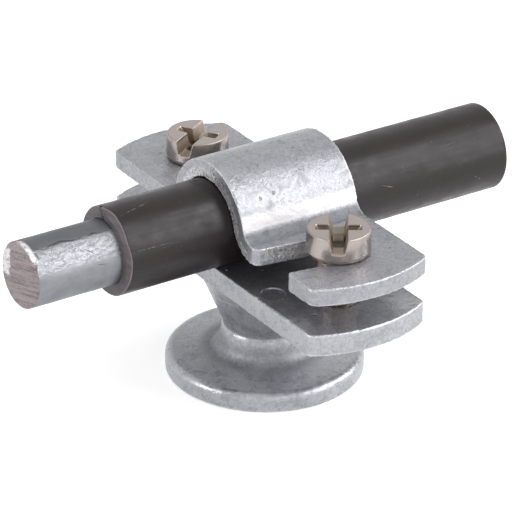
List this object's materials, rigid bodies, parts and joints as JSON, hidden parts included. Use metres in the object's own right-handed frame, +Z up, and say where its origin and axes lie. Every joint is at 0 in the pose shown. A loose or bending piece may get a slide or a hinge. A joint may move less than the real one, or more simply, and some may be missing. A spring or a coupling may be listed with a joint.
{
  "type": "conductor holder",
  "caption": "Cast foot and plate with a stamped saddle cover and cheese-head screws, clamping a round sheathed conductor; its open slot lets the loosened cover swing aside.",
  "frame": {"origin": "centre of the round foot's underside, at the mouth of its tapped hole", "axes": "+X along the conductor, away from its sawn bare end; +Y across it, towards the wing with the round hole; +Z up, from the foot to the cover"},
  "size_m": [0.0814, 0.0592, 0.0364],
  "materials": {
    "galvanised_casting": "hot-dip galvanised, mottled satin",
    "galvanised_steel": "hot-dip galvanised, mottled satin",
    "zinc_coated_rod": "zinc coated, drawn and lightly crinkled",
    "black_pvc": "extruded, semi-matt with fine scratches",
    "plated_screw_steel": "plated, bright with fine turning marks"
  },
  "bodies": {
    "holder_base": {"base_casting": "galvanised_casting", "conductor_core": "zinc_coated_rod", "conductor_sheath": "black_pvc"},
    "cover": {"clamp_cover": "galvanised_steel"},
    "front_screw": {"screw_front": "plated_screw_steel"},
    "rear_screw": {"screw_rear": "plated_screw_steel"}
  },
  "joints": [
    {"name": "clamp_lift", "type": "slide", "parent": "holder_base", "child": "cover", "axis": [0, 0, 1], "range_m": [0, 0.0035]},
    {"name": "front_screw_turn", "type": "hinge", "parent": "cover", "child": "front_screw", "pos_m": [0, -0.019, 0.02745], "axis": [0, 0, 1], "range_deg": [0, 1260.1]},
    {"name": "rear_screw_turn", "type": "hinge", "parent": "cover", "child": "rear_screw", "pos_m": [0, 0.019, 0.02745], "axis": [0, 0, 1], "range_deg": [0, 1260.1]}
  ],
  "couplings": [
    {"joint": "front_screw_turn", "follows": "clamp_lift", "rad_per_m": 6283.2},
    {"joint": "rear_screw_turn", "follows": "clamp_lift", "rad_per_m": 6283.2}
  ]
}
